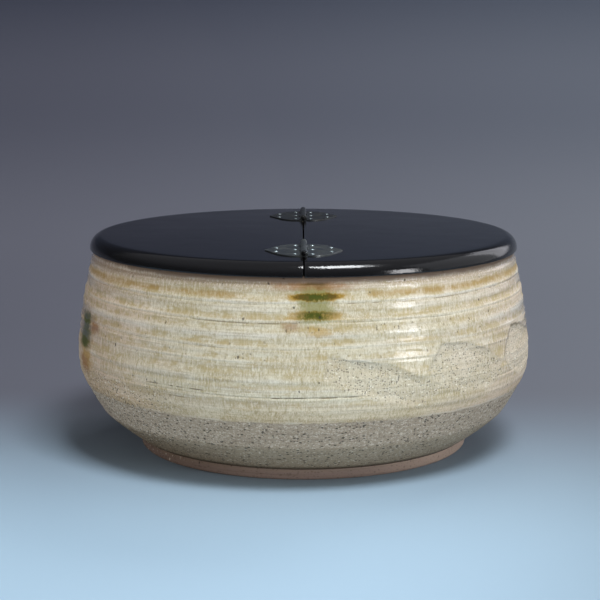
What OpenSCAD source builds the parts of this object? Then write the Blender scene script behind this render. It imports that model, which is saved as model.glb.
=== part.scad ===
// Wide, low stoneware water jar for the tea room, with a split lid in black lacquer.
// The lid is two half discs joined on top by two leaf-shaped hinges, so one half folds back over the other.
// Millimetres, +Z up. The origin is the middle of the foot, on the surface that the jar stands on.

/* [Jar] */
// Widest diameter, at the belly
jar_d = 252; // [242:1:265]
// Height to the top of the rim
jar_h = 110; // [100:1:125]
// Outside diameter at the rim
mouth_d = 233.5; // [228:0.5:238]
// Height of the belly
belly_z = 56; // [50:1:64]
// Height of the hip, where the wall turns in and the trimming starts
hip_z = 40; // [36:1:46]
// Diameter at the hip
hip_d = 246.6; // [238:0.2:250]
// Height of the edge between the two trimmed bands
trim_z = 22; // [18:1:28]
// Diameter at the edge between the two trimmed bands
trim_d = 226.6; // [212:0.2:230]
// Thickness of the wall
wall = 7; // [6:0.5:9]
// Height of the floor inside the jar
floor_z = 12; // [11:0.5:15]

/* [Foot ring] */
// Outside diameter of the foot ring
foot_d = 183; // [170:1:190]
// Height of the foot ring
foot_h = 5.5; // [4:0.5:8]
// Width of the ring that the jar stands on
foot_w = 12; // [8:0.5:18]
// Depth of the hollow inside the foot ring
foot_hollow = 4.5; // [3:0.5:5.5]
// Overhang of the wall above the foot ring
foot_ledge = 1.2; // [0.8:0.1:3]

/* [Throwing rings] */
// Depth of the deepest finger groove
ring_depth = 0.5; // [0.2:0.1:1]

/* [Spatula cuts] */
// Number of flat cuts in a row round the belly
cut_count = 3; // [1:1:4]
// Angle between the cuts
cut_turn = 27; // [24:1:40]
// Angle of the middle of the first cut, to the right of the front
cut_first = 17; // [0:1:60]
// Depth of a cut at its top edge
cut_depth = 2.3; // [1:0.1:2.8]

/* [Lid] */
// Diameter of the lid
lid_d = 236.8; // [234:0.2:244]
// Thickness of the lid
lid_t = 7.4; // [7:0.2:12]
// Gap between the two halves
seam = 0.8; // [0.4:0.1:1.4]
// Height of the locating rib under the lid
rib_h = 3.5; // [2:0.5:5]
// Room between the locating rib and the mouth
rib_gap = 1.4; // [1.2:0.1:2.5]

/* [Hinges] */
// Distance of the front hinge's middle from the middle of the lid
front_y = 75.5; // [66:0.5:82]
// Distance of the back hinge's middle from the middle of the lid
back_y = 71.5; // [60:0.5:82]
// Length of a leaf along the seam
leaf_len = 42; // [36:1:48]
// Reach of a leaf from the seam to its tip
leaf_reach = 20; // [16:0.5:26]
// Thickness of a leaf
leaf_t = 0.5; // [0.4:0.1:0.8]
// Length of the hinge barrel
barrel_len = 43; // [34:1:46]
// Outside radius of a knuckle
knuckle_r = 1.7; // [1.6:0.1:2]
// Radius of the hinge pin
pin_r = 0.9; // [0.7:0.05:1]
// Radius of a nail's shank
nail_r = 0.5; // [0.4:0.05:0.6]

/* [Hidden] */
$fn = 96;

clay = "wheat";
lacquer = "#16171a";
bronze = "#5a5446";

// Radii of the jar, from its diameters
belly_r = jar_d / 2;
mouth_r = mouth_d / 2;
hip_r = hip_d / 2;
trim_r = trim_d / 2;
foot_r = foot_d / 2;
shoulder_bend = 1.45;
hip_bend = 2.8;
rim_round = 2;
trim_bow = 0.4;
foot_round = 0.8;
floor_r = 52;

// Finger grooves, uneven as a thrower's fingers leave them: distance below the rim, half width, share of the depth
rings = [[9, 3.2, 1], [18.5, 3.4, 1], [24.7, 2.8, 0.6], [31.5, 2.6, 0.7], [38.5, 3.2, 0.8],
         [46, 3.8, 0.5], [53.5, 3.6, 0.8], [58.4, 1.6, 0.6], [63.4, 3.2, 0.5]];
wall_step = 1.2;

// The row of cuts: its top height, and one cut's outline in its own plane
cut_top = 72;
cut_lean = 8.5;
cut_shape = [[-22, -14], [-16, 0], [-9, 1], [8, -1.5], [27, -6.5], [34, -20], [20, -30], [-10, -28]];

// The lid lies on the rim
lid_r = lid_d / 2;
lid_top = jar_h + lid_t;
edge_top_w = 6.5;
edge_top_h = lid_t * 0.82;
edge_low_w = 1;
edge_low_h = lid_t - edge_top_h;
seam_round = 1;
rib_r = mouth_r - wall - rib_gap;
rib_w = 5;

// A hinge's axis runs along Y, above the seam
axis_h = knuckle_r - 0.15;
knuckles = 5;
knuckle_len = barrel_len / knuckles;
knuckle_gap = 0.25;
bore_r = pin_r + 0.05;
leaf_root = 0.6;
notch_room = 0.3;
neck_w = 2.9;
head_r = 1.25;
head_h = 0.5;
nail_len = 5.5;
nail_head_r = 1.05;
nail_head_h = 0.45;
nail_room = 0.02;
nail_spots = [[4.4, -15.5], [4.4, 0], [4.4, 15.5], [14.2, -7], [14.2, 7]];

// Wall of the jar before the finger grooves are pressed in
function wall_r(z) = z > belly_z
    ? belly_r - (belly_r - mouth_r) * pow((z - belly_z) / (jar_h - belly_z), shoulder_bend)
    : belly_r - (belly_r - hip_r) * pow((belly_z - z) / (belly_z - hip_z), hip_bend);

// How deep the finger grooves are at a height
function groove(z, ring) = let (off = abs(jar_h - ring[0] - z) / ring[1])
    off < 1 ? ring_depth * ring[2] * (0.5 + 0.5 * cos(180 * off)) : 0;
function ring_cut(z) = max([for (ring = rings) groove(z, ring)]);

// A quarter of an ellipse about (r, z), from one angle to another
function arc(r, z, w, h, from, to, steps = 8) =
    [for (i = [0 : steps]) let (a = from + (to - from) * i / steps) [r + w * cos(a), z + h * sin(a)]];

function bezier(p, t) = pow(1 - t, 3) * p[0] + 3 * pow(1 - t, 2) * t * p[1]
    + 3 * (1 - t) * t * t * p[2] + t * t * t * p[3];

// A trimmed band of the section, bowed outwards a little, from a to just before b
function band(a, b, bow) = let (d = b - a, out = [d[1], -d[0]] / norm(d))
    [for (i = [0 : 4]) let (t = i / 5) a + d * t + out * bow * 4 * t * (1 - t)];

// Half section of the jar, from the foot up the outside, over the rim and down to the floor
function jar_outline() = let (wall_top = jar_h - rim_round, inner_r = mouth_r - wall)
    concat(
        [[foot_r - foot_round, 0], [foot_r, foot_round], [foot_r, foot_h]],
        band([foot_r + foot_ledge, foot_h + 0.4], [trim_r, trim_z], trim_bow * 1.5),
        band([trim_r, trim_z], [hip_r, hip_z], trim_bow),
        [for (z = [hip_z : wall_step : wall_top - wall_step / 2]) [wall_r(z) - ring_cut(z), z]],
        arc(mouth_r - rim_round, wall_top, rim_round, rim_round, 0, 90, 5),
        arc(inner_r + rim_round, wall_top, rim_round, rim_round, 90, 180, 5),
        [for (z = [wall_top - 6 : -6 : hip_z + 3]) [wall_r(z) - wall, z]],
        arc(floor_r, hip_z, hip_r - wall - floor_r, hip_z - floor_z, 0, -90, 14),
        [[0, floor_z], [0, foot_hollow], [foot_r - foot_w - 2, foot_hollow]],
        [[foot_r - foot_w, foot_hollow - 2], [foot_r - foot_w, foot_round], [foot_r - foot_w + foot_round, 0]]
    );

// One flat cut: a plane that leans in at its top edge and runs out of the wall below
module spatula_cut(turn) {
    rotate([0, 0, turn - 90])
        translate([wall_r(cut_top) - cut_depth, 0, cut_top])
            rotate([90, 0, 90])
                rotate([-cut_lean, 0, 0])
                    linear_extrude(height = 20)
                        polygon(cut_shape);
}

module jar() {
    color(clay)
        difference() {
            rotate_extrude()
                polygon(jar_outline());
            for (i = [0 : cut_count - 1])
                spatula_cut(cut_first + i * cut_turn);
        }
}

function lid_outline() = concat(
    [[0, jar_h]],
    arc(lid_r - edge_low_w, jar_h + edge_low_h, edge_low_w, edge_low_h, -90, 0, 6),
    [for (p = arc(lid_r - edge_top_w, jar_h + edge_low_h, edge_top_w, edge_top_h, 0, 90, 14)) if (p[0] < lid_r) p],
    [[0, lid_top]]
);

module locating_rib() {
    translate([0, 0, jar_h - rib_h])
        rotate_extrude()
            polygon([[rib_r - rib_w, 0.8], [rib_r - rib_w + 0.8, 0], [rib_r - 1.2, 0],
                     [rib_r, 1.2], [rib_r, rib_h + 1], [rib_r - rib_w, rib_h + 1]]);
}

// What is cut away to leave the half on the right: all beyond the seam, with the top edge softened
module beyond_seam() {
    rotate([90, 0, 0])
        linear_extrude(height = lid_d + 20, center = true)
            polygon(concat(
                [[-lid_r - 10, jar_h - rib_h - 5], [seam / 2, jar_h - rib_h - 5]],
                arc(seam / 2 + seam_round, lid_top - seam_round, seam_round, seam_round, 180, 90, 5),
                [[seam / 2 + seam_round, lid_top + 5], [-lid_r - 10, lid_top + 5]]
            ));
}

// Both halves are made on the right, and the left one is its mirror image
module on_side(side) {
    mirror([side < 0 ? 1 : 0, 0, 0])
        children();
}

module at_nails(y) {
    for (spot = nail_spots)
        translate([spot[0], y + spot[1], lid_top + leaf_t])
            children();
}

module lid_half(side) {
    color(lacquer)
        on_side(side)
            difference() {
                union() {
                    rotate_extrude()
                        polygon(lid_outline());
                    locating_rib();
                }
                beyond_seam();
                for (y = [-front_y, back_y])
                    at_nails(y)
                        translate([0, 0, -nail_len - 0.1])
                            cylinder(r = nail_r + nail_room, h = nail_len + 1, $fn = 24);
            }
}

// Outline of a leaf on the right of the seam: full beside the barrel, drawn out to a point
function leaf_side(sign) = let (
        shape = [[leaf_root, leaf_len / 2], [leaf_reach * 0.55, leaf_len * 0.58],
                 [leaf_reach * 0.75, leaf_len * 0.27], [leaf_reach, 0]])
    [for (i = [0 : 13]) let (p = bezier(shape, i / 14)) [p[0], sign * p[1]]];
function reversed(list) = [for (i = [len(list) - 1 : -1 : 0]) list[i]];
function leaf_outline() = concat(leaf_side(-1), [[leaf_reach, 0]], reversed(leaf_side(1)));

function knuckle_y(i) = (i - (knuckles - 1) / 2) * knuckle_len;

// One rolled knuckle, with the neck that carries it down to the leaf
module knuckle(i) {
    length = knuckle_len - knuckle_gap;
    translate([0, knuckle_y(i), 0])
        rotate([90, 0, 0]) {
            translate([0, axis_h, 0])
                cylinder(r = knuckle_r, h = length, center = true, $fn = 48);
            linear_extrude(height = length, center = true)
                polygon([[0, leaf_t * 0.6], [neck_w, 0.1], [neck_w, leaf_t],
                         [knuckle_r * 1.15, axis_h * 0.6], [knuckle_r * 0.9, axis_h]]);
        }
}

// The left leaf has the outer and middle knuckles (first = 0), the right one those between (first = 1)
module hinge_leaf(side, y, first) {
    color(bronze)
        on_side(side)
            difference() {
                translate([0, y, lid_top])
                    difference() {
                        union() {
                            linear_extrude(height = leaf_t)
                                polygon(leaf_outline());
                            for (i = [first : 2 : knuckles - 1])
                                knuckle(i);
                        }
                        for (i = [1 - first : 2 : knuckles - 1])
                            translate([-1, knuckle_y(i) - knuckle_len / 2, -1])
                                cube([1 + knuckle_r + notch_room, knuckle_len, leaf_t + 2]);
                        translate([0, 0, axis_h])
                            rotate([90, 0, 0])
                                cylinder(r = bore_r, h = barrel_len + 2, center = true, $fn = 32);
                    }
                at_nails(y)
                    translate([0, 0, -leaf_t - 1])
                        cylinder(r = nail_r + nail_room, h = leaf_t + 2, $fn = 24);
            }
}

// A pin through all the knuckles, with its ends riveted over into low domes
module hinge_pin(y) {
    length = barrel_len - knuckle_gap;
    color(bronze)
        translate([0, y, lid_top + axis_h])
            for (turn = [90, -90])
                rotate([turn, 0, 0]) {
                    cylinder(r = pin_r, h = length / 2, $fn = 32);
                    translate([0, 0, length / 2])
                        rotate_extrude($fn = 32)
                            polygon(concat([[0, 0]], arc(0, 0, head_r, head_h, 0, 90, 6)));
                }
}

module hinge_nails(side, y) {
    color(bronze)
        on_side(side)
            at_nails(y)
                rotate_extrude($fn = 24)
                    polygon(concat(
                        [[0, -nail_len], [nail_r, -nail_len + 1.4], [nail_r, 0]],
                        arc(0, 0, nail_head_r, nail_head_h, 0, 90, 6)
                    ));
}

jar();
lid_half(-1);  // lid_left_half
lid_half(1);  // lid_right_half
hinge_leaf(-1, -front_y, 0);  // front_hinge_left_leaf
hinge_leaf(1, -front_y, 1);  // front_hinge_right_leaf
hinge_pin(-front_y);  // front_hinge_pin
hinge_nails(-1, -front_y);  // front_hinge_left_nails
hinge_nails(1, -front_y);  // front_hinge_right_nails
hinge_leaf(-1, back_y, 0);  // back_hinge_left_leaf
hinge_leaf(1, back_y, 1);  // back_hinge_right_leaf
hinge_pin(back_y);  // back_hinge_pin
hinge_nails(-1, back_y);  // back_hinge_left_nails
hinge_nails(1, back_y);  // back_hinge_right_nails
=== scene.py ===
# Low stoneware water jar with a split, hinged lacquer lid: meshes, finishes, studio and camera
import bmesh
import bpy
import math
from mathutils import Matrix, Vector, noise


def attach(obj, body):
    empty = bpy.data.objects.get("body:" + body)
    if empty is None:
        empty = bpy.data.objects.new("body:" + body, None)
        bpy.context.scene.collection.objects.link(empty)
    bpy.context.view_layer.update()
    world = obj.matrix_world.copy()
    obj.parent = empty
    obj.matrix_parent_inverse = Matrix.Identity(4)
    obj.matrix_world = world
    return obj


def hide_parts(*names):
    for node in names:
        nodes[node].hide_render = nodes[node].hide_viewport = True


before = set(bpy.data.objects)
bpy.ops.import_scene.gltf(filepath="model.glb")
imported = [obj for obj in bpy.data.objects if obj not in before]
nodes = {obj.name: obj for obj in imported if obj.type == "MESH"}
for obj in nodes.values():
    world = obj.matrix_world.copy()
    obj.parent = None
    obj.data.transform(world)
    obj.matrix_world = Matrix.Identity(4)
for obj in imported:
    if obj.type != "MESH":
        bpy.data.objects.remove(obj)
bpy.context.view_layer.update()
mm = 0.001


# small helpers
def smooth(low, high, x):
    t = min(max((x - low) / (high - low), 0.0), 1.0)
    return t * t * (3 - 2 * t)


def lerp(a, b, t):
    return a + (b - a) * t


# smooth noise at a point, about -1 to 1
def wobble(x, y, z):
    return noise.noise(Vector((x, y, z)))


def newPiece(name, mesh, body, replaced):
    piece = bpy.data.objects.new(name, mesh)
    bpy.context.scene.collection.objects.link(piece)
    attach(piece, body)
    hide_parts(replaced)
    return piece


def shadeSmooth(mesh, sharpDeg=180):
    mesh.shade_smooth()
    if sharpDeg < 180:
        mesh.set_sharp_from_angle(angle=math.radians(sharpDeg))


def wear(pieces, *materials):
    for piece in pieces:
        for material in materials:
            piece.data.materials.append(material)


# node helpers: inputs are given by name or number, and are fixed values or outputs of other nodes
def fill(node, inputs):
    for key, value in inputs.items():
        if isinstance(value, bpy.types.NodeSocket):
            node.id_data.links.new(value, node.inputs[key])
        else:
            node.inputs[key].default_value = value


# a new node's outputs; its own settings are given by keyword
def addNode(tree, kind, inputs=None, **settings):
    node = tree.nodes.new(kind)
    for key, value in settings.items():
        setattr(node, key, value)
    fill(node, inputs or {})
    return node.outputs


# a node in the tree that its inputs come from
def nodeFrom(kind, inputs, **settings):
    linked = [value for value in inputs.values() if isinstance(value, bpy.types.NodeSocket)]
    return addNode(linked[0].id_data, kind, inputs, **settings)


def math2(operation, a, b=0.0, clamp=False):
    return nodeFrom("ShaderNodeMath", {0: a, 1: b}, operation=operation, use_clamp=clamp)[0]


def minus(a, b):
    return math2("SUBTRACT", a, b)


# one operation over several values, from the first to the last
def inTurn(operation, values):
    total = values[0]
    for value in values[1:]:
        total = math2(operation, total, value)
    return total


def plus(*values):
    return inTurn("ADD", values)


def times(*values):
    return inTurn("MULTIPLY", values)


def most(*values):
    return inTurn("MAXIMUM", values)


def ramp(value, low, high, toLow=0.0, toHigh=1.0, kind="SMOOTHSTEP"):
    inputs = {0: value, 1: low, 2: high, 3: toLow, 4: toHigh}
    return nodeFrom("ShaderNodeMapRange", inputs, interpolation_type=kind)[0]


# 1 between two values, with soft ends
def within(value, low, high, soft):
    return times(ramp(value, low - soft, low + soft),
                 ramp(value, high - soft, high + soft, 1.0, 0.0))


def mixColour(factor, a, b, blend="MIX"):
    inputs = {0: factor, 6: a, 7: b}  # the colour sockets of a mix node
    return nodeFrom("ShaderNodeMix", inputs, data_type="RGBA", blend_type=blend)[2]


# colours laid over one another, each with how much of it there is
def paint(colour, layers):
    for share, tone in layers:
        colour = mixColour(share, colour, tone)
    return colour


def noiseTex(vector, scale, detail=2.0, rough=0.5):
    inputs = {"Vector": vector, "Scale": scale, "Detail": detail, "Roughness": rough}
    return nodeFrom("ShaderNodeTexNoise", inputs)[0]


def stretch(vector, scale):
    return nodeFrom("ShaderNodeMapping", {"Vector": vector, "Scale": scale})[0]


def vectorMath(operation, inputs):
    return nodeFrom("ShaderNodeVectorMath", inputs, operation=operation)


def vectorSum(a, b):
    return vectorMath("ADD", {0: a, 1: b})[0]


def dotProduct(a, b):
    return vectorMath("DOT_PRODUCT", {0: a, 1: b})["Value"]


def objectPlace(tree):
    return addNode(tree, "ShaderNodeTexCoord")["Object"]


def axes(vector):
    return nodeFrom("ShaderNodeSeparateXYZ", {0: vector})


def attribute(tree, name):
    return addNode(tree, "ShaderNodeAttribute", attribute_name=name)["Fac"]


def bumpNormal(height, strength, distance):
    return nodeFrom("ShaderNodeBump", {"Height": height, "Strength": strength, "Distance": distance})[0]


def newMaterial(name):
    material = bpy.data.materials.new(name)
    material.use_nodes = True
    tree = material.node_tree
    return material, tree, tree.nodes["Principled BSDF"]


# a node group from the names of its vector inputs, number inputs and number outputs
def newGroup(name, vectors, numbers, results):
    group = bpy.data.node_groups.new(name, "ShaderNodeTree")
    sockets = [(label, "INPUT", "NodeSocketVector") for label in vectors]
    sockets += [(label, "INPUT", "NodeSocketFloat") for label in numbers]
    sockets += [(label, "OUTPUT", "NodeSocketFloat") for label in results]
    for label, way, kind in sockets:
        group.interface.new_socket(name=label, in_out=way, socket_type=kind)
    return group, group.nodes.new("NodeGroupInput").outputs, group.nodes.new("NodeGroupOutput").inputs


def useGroup(group, inputs):
    return nodeFrom("ShaderNodeGroup", inputs, node_tree=group)


# specks scattered over a surface: pinholes in glaze, grit in clay, dust on lacquer
speckSet = dict(raggedScale=2.5, raggedShift=0.45, leastSize=0.35, soft=0.12)


def makeSpecks():
    s = speckSet
    tree, given, out = newGroup("scatteredSpecks", ["Vector"], ["Scale", "Size", "Share"], ["Mask"])
    fine = {"Vector": given["Vector"], "Scale": times(given["Scale"], s["raggedScale"])}
    ragged = nodeFrom("ShaderNodeTexNoise", fine)["Color"]
    shift = vectorMath("SUBTRACT", {0: ragged, 1: (0.5, 0.5, 0.5)})[0]
    shiftScale = math2("DIVIDE", s["raggedShift"], given["Scale"])
    shift = vectorMath("SCALE", {0: shift, "Scale": shiftScale})[0]
    spot = vectorSum(given["Vector"], shift)
    cells = nodeFrom("ShaderNodeTexVoronoi", {"Vector": spot, "Scale": given["Scale"]})
    pick = nodeFrom("ShaderNodeSeparateColor", {0: cells["Color"]})
    chosen = math2("LESS_THAN", pick[0], given["Share"])
    reach = times(given["Size"], plus(pick[1], s["leastSize"]))
    inside = math2("DIVIDE", minus(reach, cells["Distance"]), s["soft"], clamp=True)
    tree.links.new(times(inside, chosen), out["Mask"])
    return tree


# soft blotches that vary over a surface, from 0 to 1
def makeMottle():
    tree, given, out = newGroup("softMottle", ["Vector"], ["Scale", "Low", "High"], ["Value"])
    blotch = noiseTex(given["Vector"], given["Scale"], 3.0, 0.55)
    tree.links.new(ramp(blotch, given["Low"], given["High"]), out["Value"])
    return tree


specks = makeSpecks()
mottle = makeMottle()
print("shared node groups made")


def speckMask(vector, scale, size, share):
    return useGroup(specks, {"Vector": vector, "Scale": scale, "Size": size, "Share": share})["Mask"]


def softPatches(vector, scale, low, high):
    return useGroup(mottle, {"Vector": vector, "Scale": scale, "Low": low, "High": high})["Value"]


# jar: thrown wall with finger rings, spatula cuts, trimmed lower bands and a foot ring; sizes in mm
jarSet = dict(
    body="jar", slot="glazed_stoneware",
    rimHigh=110, mouthR=116.75, bellyR=126, bellyHigh=56, hipR=123.3, hipHigh=40,
    trimR=113.3, trimHigh=22, trimBow=0.4, shoulderBend=1.45, hipBend=2.8, wall=7, rimRound=2, widest=125.7,
    footR=91.5, footHigh=5.5, footWide=12, footHollow=4.5, footLedge=1.2, floorHigh=12, floorR=52,
    around=504, aroundInside=168, fineFrom=-7, fineTo=91, fineShare=0.5,
    trimRows=40, rowStep=0.76, fineStep=0.32, insideStep=2.4, floorRows=16,
    glazeThick=0.3, glazeLow=37.3, sway=0.45, lumps=0.2, smallLumps=0.09, setIn=0.25, washReach=1.6,
    # rings from the rim down: height, half width, depth (less than 0 is a ridge), amber, milk
    rings=[(104.4, 0.7, -0.06, 0.0, 0.15), (101.2, 2.6, 0.32, 1.0, 0.0), (98.3, 0.8, -0.16, 0.0, 1.0),
           (97.2, 0.5, 0.10, 0.2, 0.0), (94.6, 1.6, -0.08, 0.0, 0.5), (91.4, 2.6, 0.32, 0.5, 0.0),
           (89.3, 0.7, -0.15, 0.0, 0.8), (88.1, 0.5, 0.12, 0.3, 0.0), (85.5, 2.2, 0.18, 0.45, 0.0),
           (82.2, 1.7, -0.20, 0.0, 1.0), (78.6, 2.4, 0.22, 0.5, 0.0), (76.6, 0.8, -0.10, 0.0, 0.5),
           (74.8, 1.0, 0.10, 0.3, 0.0), (71.7, 2.2, 0.20, 0.45, 0.0), (69.4, 0.6, -0.12, 0.0, 0.6),
           (68.2, 0.5, 0.07, 0.2, 0.0), (64.6, 3.2, 0.18, 0.4, 0.0), (60.1, 1.2, -0.22, 0.0, 0.8),
           (57.2, 2.2, 0.30, 0.3, 0.0), (55.1, 0.5, -0.12, 0.0, 0.6), (54.2, 0.4, 0.08, 0.2, 0.0),
           (51.5, 0.6, 0.25, 0.2, 0.0), (48.4, 2.2, 0.22, 0.3, 0.0), (44.5, 2.0, -0.12, 0.0, 0.3),
           (41.8, 1.2, 0.12, 0.2, 0.0)],
    # spatula cuts: corners as turn from the front in degrees and height, clockwise from the top left,
    # each with how dark the line along the edge after it is, partly iron and partly painted shade of the
    # cut's step
    cuts=[[(5.6, 71.2, 0.1), (19.7, 66.5, 0.12), (34.0, 53.0, 0.0), (27.7, 42.6, 0.0),
           (15.3, 49.4, 0.0), (4.2, 59.8, 0.12)],
          [(34.0, 73.8, 0.35), (41.7, 72.8, 0.2), (50.3, 66.5, 0.1), (55.0, 59.0, 0.0), (55.5, 52.7, 0.0),
           (50.0, 46.4, 0.0), (40.0, 47.4, 0.0), (31.5, 54.0, 0.1), (30.0, 62.2, 0.3)],
          [(62.3, 75.0, 1.0), (69.5, 74.0, 0.5), (78.0, 68.0, 0.0), (82.0, 58.5, 0.0), (78.0, 49.5, 0.0),
           (68.0, 46.5, 0.0), (60.0, 52.5, 0.3), (56.8, 60.2, 0.9), (58.7, 67.4, 1.0)]],
    cutStep=0.55, cutBow=0.85,
)
maskNames = ("amber", "milk", "facet", "facetEdge", "ringHigh")  # what the mesh tells the glaze


def wallRadius(z):
    s = jarSet
    if z > s["bellyHigh"]:
        t = (z - s["bellyHigh"]) / (s["rimHigh"] - s["bellyHigh"])
        return s["bellyR"] - (s["bellyR"] - s["mouthR"]) * t ** s["shoulderBend"]
    t = (s["bellyHigh"] - z) / (s["bellyHigh"] - s["hipHigh"])
    return s["bellyR"] - (s["bellyR"] - s["hipR"]) * t ** s["hipBend"]


# what the rings do at a height: depth, amber pooled in them, milky glaze on them
def fingerRings(z):
    deep = amber = milk = 0.0
    reach = jarSet["washReach"]
    for high, half, depth, amberShare, milkShare in jarSet["rings"]:
        off = abs(z - high) / half
        if off < reach:
            near = 0.5 + 0.5 * math.cos(math.pi * min(off, 1))
            deep += depth * near
            wash = 0.5 + 0.5 * math.cos(math.pi * off / reach)
            amber = max(amber, amberShare * wash)
            milk = max(milk, milkShare * wash)
    return deep, amber, milk


# a spatula cut: how far inside its outline a point is, how deep it is there, and how dark its edge is, partly
# iron and partly painted shade of its step
def spatulaCut(corners, turn, z):
    s = jarSet
    perDeg = math.radians(s["bellyR"])
    inside, line = 99.0, 0.0
    for (turnA, zA, dark), (turnB, zB, _) in zip(corners, corners[1:] + corners[:1]):
        alongX, alongZ = (turnB - turnA) * perDeg, zB - zA
        off = ((turn - turnA) * perDeg * alongZ - (z - zA) * alongX) / math.hypot(alongX, alongZ)
        if off < inside:
            inside, line = off, dark
    turns, heights = [c[0] for c in corners], [c[1] for c in corners]
    across = (turn - min(turns)) / (max(turns) - min(turns))
    down = (max(heights) - z) / (max(heights) - min(heights))
    deep = s["cutStep"] * (1 - 0.75 * down) + s["cutBow"] * 4 * across * (1 - across) * smooth(0, 4, inside)
    return inside, deep, line


# points go round closer together where the cuts are
def turnOf(share):
    s = jarSet
    if share < s["fineShare"]:
        return math.radians(lerp(s["fineFrom"], s["fineTo"], share / s["fineShare"]))
    rest = (share - s["fineShare"]) / (1 - s["fineShare"])
    return math.radians(lerp(s["fineTo"], s["fineFrom"] + 360, rest))


# rows of the wall, closer together at the sharp rings
def wallHeights():
    s = jarSet
    sharp = [high for high, half, *_ in s["rings"] if half < 1]
    z, heights = s["hipHigh"], []
    top = s["rimHigh"] - s["rimRound"]
    while z < top - 0.3:
        heights.append(z)
        z += s["fineStep"] if min(abs(z - high) for high in sharp) < 1.0 else s["rowStep"]
    return heights + [top]


# 1 where the glaze covers the clay, 0 below the uneven line where it stops
def glazeRise(a, z):
    low = jarSet["glazeLow"] + 0.9 * wobble(math.sin(a) * 8, -math.cos(a) * 8, 0.5)
    return smooth(low - 0.6, low + 0.6, z)


# a point of the thrown wall: its radius, and its masks in the order of maskNames
def jarWallPoint(a, z):
    s = jarSet
    x0, y0 = math.sin(a), -math.cos(a)
    spot = Vector((x0 * 1.6, y0 * 1.6, z * 0.012))
    ringHigh = z + s["sway"] * 2 * noise.noise(spot + Vector((7, 3, 1)))
    deep, amber, milk = fingerRings(ringHigh)
    deep *= 1 + 0.5 * wobble(x0 * 2.3, y0 * 2.3, z * 0.08)
    lump = s["lumps"] * wobble(x0 * 3.1, y0 * 3.1, z * 0.05)
    lump += s["smallLumps"] * wobble(x0 * 14, y0 * 14, z * 0.22)
    radius = wallRadius(z) - deep + lump - s["setIn"]
    facet = edge = 0.0
    turn = math.degrees(a)
    for corners in s["cuts"]:
        if not corners[0][0] - 12 < turn < corners[0][0] + 40:  # too far round to touch this cut
            continue
        inside, depth, line = spatulaCut(corners, turn, z)
        inside += 0.6 * wobble(turn * 0.5, z * 0.22, 4) + 0.25 * wobble(turn * 2, z * 0.9, 9)
        if inside > -2:
            held = smooth(-0.4, 0.5, inside)
            drag = 0.10 * wobble(turn * 0.9, z * 0.9, 2) + 0.07 * wobble(turn * 2.5, z * 0.5, 5)
            radius -= (depth + drag) * held
            radius += max(deep, 0) * held * 0.8  # a cut takes most of the grooves away
            facet = max(facet, held)
            edge = max(edge, line * smooth(-1.0, -0.1, inside) * (1 - smooth(0.2, 1.2, inside)))
    radius = min(radius, s["widest"])
    return radius, (amber * (1 - facet), milk * (1 - facet), facet, edge, ringHigh)


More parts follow.
